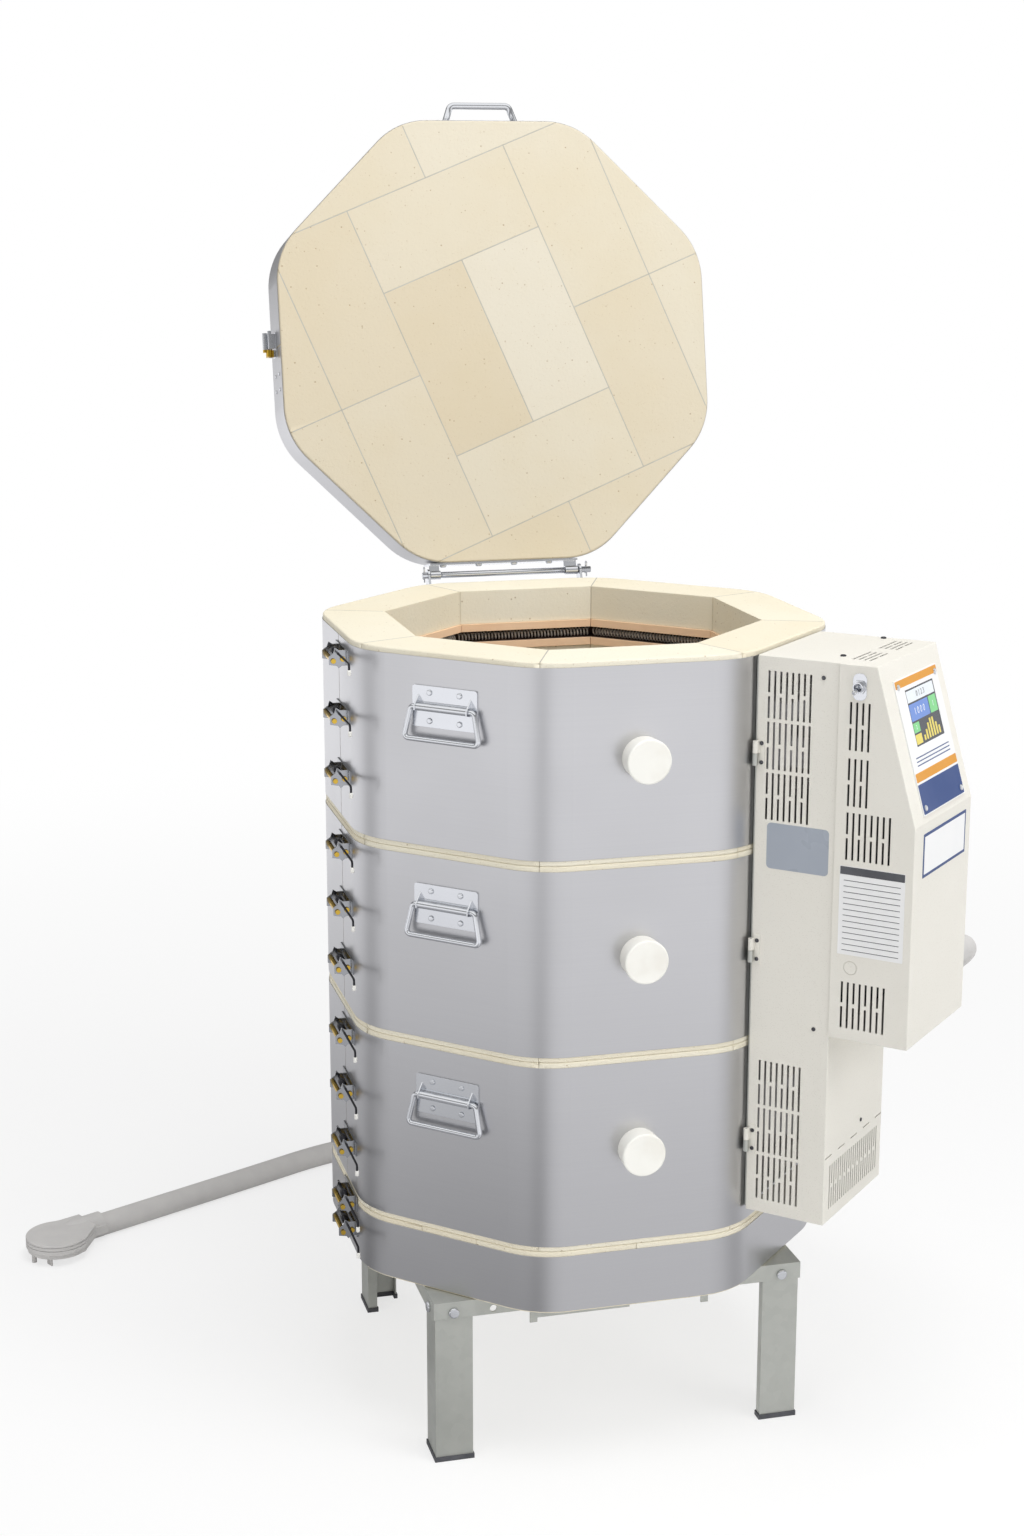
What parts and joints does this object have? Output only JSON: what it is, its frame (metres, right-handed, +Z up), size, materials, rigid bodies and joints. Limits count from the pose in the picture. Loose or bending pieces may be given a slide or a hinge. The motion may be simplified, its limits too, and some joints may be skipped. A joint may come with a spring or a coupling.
{
  "type": "ceramic kiln",
  "caption": "Top-loading octagonal ceramic kiln of stacked firebrick sections on a stand, with hinged lid, peephole plugs, drop handles, side control box and power cord.",
  "frame": {"origin": "on the floor, on the upright centre line of the kiln's octagonal body", "axes": "+Z up, +X to the right along the lid's hinge line, the peephole face towards -Y"},
  "size_m": [1.1364, 1.1413, 1.5745],
  "materials": {
    "firebrick": "porous, pale buff",
    "stainless_jacket": "brushed stainless steel",
    "bright_zinc": "bright zinc plate",
    "galvanised_steel": "galvanised sheet steel",
    "cream_paint": "speckled powder coat",
    "dark_paint": "satin black",
    "white_ceramic": "unglazed white ceramic",
    "peach_ceramic": "unglazed fired ceramic",
    "element_wire": "oxidised resistance wire",
    "black_plastic": "moulded black plastic",
    "grey_cord": "matt grey rubber",
    "faceplate": "printed panel film",
    "board_green": "circuit board"
  },
  "bodies": {
    "kiln": {"box_frame": "galvanised_steel", "clamp_barrels": "bright_zinc", "clamp_housings": "bright_zinc", "cord_plug": "grey_cord", "element_holders": "peach_ceramic", "element_terminals": "white_ceramic", "floor_jacket": "stainless_jacket", "floor_slab": "firebrick", "handle_plates": "bright_zinc", "heating_elements": "element_wire", "hinge_bracket": "bright_zinc", "hinge_clips": "bright_zinc", "hinge_rod": "bright_zinc", "kiln_screws": "bright_zinc", "leg_caps": "dark_paint", "power_cord": "grey_cord", "section_1_bricks": "firebrick", "section_1_jacket": "stainless_jacket", "section_2_bricks": "firebrick", "section_2_jacket": "stainless_jacket", "section_3_bricks": "firebrick", "section_3_jacket": "stainless_jacket", "stand_frame": "galvanised_steel", "stand_legs": "galvanised_steel", "thermocouples": "white_ceramic"},
    "lid": {"lid_band": "stainless_jacket", "lid_band_clamp": "bright_zinc", "lid_bricks": "firebrick", "lid_handle": "bright_zinc", "lid_hinge_plate": "bright_zinc", "lid_screws": "bright_zinc"},
    "control_box": {"element_cover": "cream_paint", "control_housing": "cream_paint", "touch_panel": "faceplate", "control_board": "board_green", "box_screws": "bright_zinc", "power_switch": "bright_zinc", "relays": "black_plastic", "cord_gland": "black_plastic"},
    "switch_lever": {"switch_lever": "bright_zinc"},
    "left_handle_1": {"left_handle_1": "bright_zinc"},
    "left_handle_2": {"left_handle_2": "bright_zinc"},
    "left_handle_3": {"left_handle_3": "bright_zinc"},
    "right_handle_1": {"right_handle_1": "bright_zinc"},
    "right_handle_2": {"right_handle_2": "bright_zinc"},
    "right_handle_3": {"right_handle_3": "bright_zinc"},
    "peephole_plug_1": {"peephole_plug_1": "white_ceramic"},
    "peephole_plug_2": {"peephole_plug_2": "white_ceramic"},
    "peephole_plug_3": {"peephole_plug_3": "white_ceramic"},
    "clamp_rod_1": {"clamp_rod_1": "dark_paint"},
    "clamp_rod_2": {"clamp_rod_2": "dark_paint"},
    "clamp_rod_3": {"clamp_rod_3": "dark_paint"},
    "clamp_rod_4": {"clamp_rod_4": "dark_paint"},
    "clamp_rod_5": {"clamp_rod_5": "dark_paint"},
    "clamp_rod_6": {"clamp_rod_6": "dark_paint"},
    "clamp_rod_7": {"clamp_rod_7": "dark_paint"},
    "clamp_rod_8": {"clamp_rod_8": "dark_paint"},
    "clamp_rod_9": {"clamp_rod_9": "dark_paint"},
    "clamp_rod_10": {"clamp_rod_10": "dark_paint"},
    "clamp_rod_11": {"clamp_rod_11": "dark_paint"}
  },
  "joints": [
    {"name": "lid_hinge", "type": "hinge", "parent": "kiln", "child": "lid", "pos_m": [0, 0.3022, 0.973], "axis": [1, 0, 0], "range_deg": [0, 101.5]},
    {"name": "control_box_swing", "type": "hinge", "parent": "kiln", "child": "control_box", "pos_m": [0.13435, -0.27719, 0.62], "axis": [0, 0, -1], "range_deg": [0, 90]},
    {"name": "switch_throw", "type": "hinge", "parent": "control_box", "child": "switch_lever", "pos_m": [0.22168, -0.36027, 0.9366], "axis": [-0.7071, 0.7071, 0], "range_deg": [0, 26]},
    {"name": "left_handle_1_lift", "type": "hinge", "parent": "kiln", "child": "left_handle_1", "pos_m": [-0.20732, -0.20732, 0.9037], "axis": [-0.7071, 0.7071, 0], "range_deg": [0, 90]},
    {"name": "left_handle_2_lift", "type": "hinge", "parent": "kiln", "child": "left_handle_2", "pos_m": [-0.20732, -0.20732, 0.6751], "axis": [-0.7071, 0.7071, 0], "range_deg": [0, 90]},
    {"name": "left_handle_3_lift", "type": "hinge", "parent": "kiln", "child": "left_handle_3", "pos_m": [-0.20732, -0.20732, 0.4465], "axis": [-0.7071, 0.7071, 0], "range_deg": [0, 90]},
    {"name": "right_handle_1_lift", "type": "hinge", "parent": "kiln", "child": "right_handle_1", "pos_m": [0.20732, 0.20732, 0.9037], "axis": [0.7071, -0.7071, 0], "range_deg": [0, 90]},
    {"name": "right_handle_2_lift", "type": "hinge", "parent": "kiln", "child": "right_handle_2", "pos_m": [0.20732, 0.20732, 0.6751], "axis": [0.7071, -0.7071, 0], "range_deg": [0, 90]},
    {"name": "right_handle_3_lift", "type": "hinge", "parent": "kiln", "child": "right_handle_3", "pos_m": [0.20732, 0.20732, 0.4465], "axis": [0.7071, -0.7071, 0], "range_deg": [0, 90]},
    {"name": "peephole_plug_1_pull", "type": "slide", "parent": "kiln", "child": "peephole_plug_1", "axis": [0, -1, 0], "range_m": [0, 0.066]},
    {"name": "peephole_plug_2_pull", "type": "slide", "parent": "kiln", "child": "peephole_plug_2", "axis": [0, -1, 0], "range_m": [0, 0.066]},
    {"name": "peephole_plug_3_pull", "type": "slide", "parent": "kiln", "child": "peephole_plug_3", "axis": [0, -1, 0], "range_m": [0, 0.066]},
    {"name": "clamp_rod_1_turn", "type": "hinge", "parent": "kiln", "child": "clamp_rod_1", "pos_m": [-0.298, -0.06, 0.9462], "axis": [0, -1, 0], "continuous": true},
    {"name": "clamp_rod_2_turn", "type": "hinge", "parent": "kiln", "child": "clamp_rod_2", "pos_m": [-0.298, -0.06, 0.8762], "axis": [0, -1, 0], "continuous": true},
    {"name": "clamp_rod_3_turn", "type": "hinge", "parent": "kiln", "child": "clamp_rod_3", "pos_m": [-0.298, -0.06, 0.8052], "axis": [0, -1, 0], "continuous": true},
    {"name": "clamp_rod_4_turn", "type": "hinge", "parent": "kiln", "child": "clamp_rod_4", "pos_m": [-0.298, -0.06, 0.7176], "axis": [0, -1, 0], "continuous": true},
    {"name": "clamp_rod_5_turn", "type": "hinge", "parent": "kiln", "child": "clamp_rod_5", "pos_m": [-0.298, -0.06, 0.6476], "axis": [0, -1, 0], "continuous": true},
    {"name": "clamp_rod_6_turn", "type": "hinge", "parent": "kiln", "child": "clamp_rod_6", "pos_m": [-0.298, -0.06, 0.5766], "axis": [0, -1, 0], "continuous": true},
    {"name": "clamp_rod_7_turn", "type": "hinge", "parent": "kiln", "child": "clamp_rod_7", "pos_m": [-0.298, -0.06, 0.489], "axis": [0, -1, 0], "continuous": true},
    {"name": "clamp_rod_8_turn", "type": "hinge", "parent": "kiln", "child": "clamp_rod_8", "pos_m": [-0.298, -0.06, 0.419], "axis": [0, -1, 0], "continuous": true},
    {"name": "clamp_rod_9_turn", "type": "hinge", "parent": "kiln", "child": "clamp_rod_9", "pos_m": [-0.298, -0.06, 0.348], "axis": [0, -1, 0], "continuous": true},
    {"name": "clamp_rod_10_turn", "type": "hinge", "parent": "kiln", "child": "clamp_rod_10", "pos_m": [-0.298, -0.06, 0.277], "axis": [0, -1, 0], "continuous": true},
    {"name": "clamp_rod_11_turn", "type": "hinge", "parent": "kiln", "child": "clamp_rod_11", "pos_m": [-0.298, -0.06, 0.244], "axis": [0, -1, 0], "continuous": true}
  ]
}
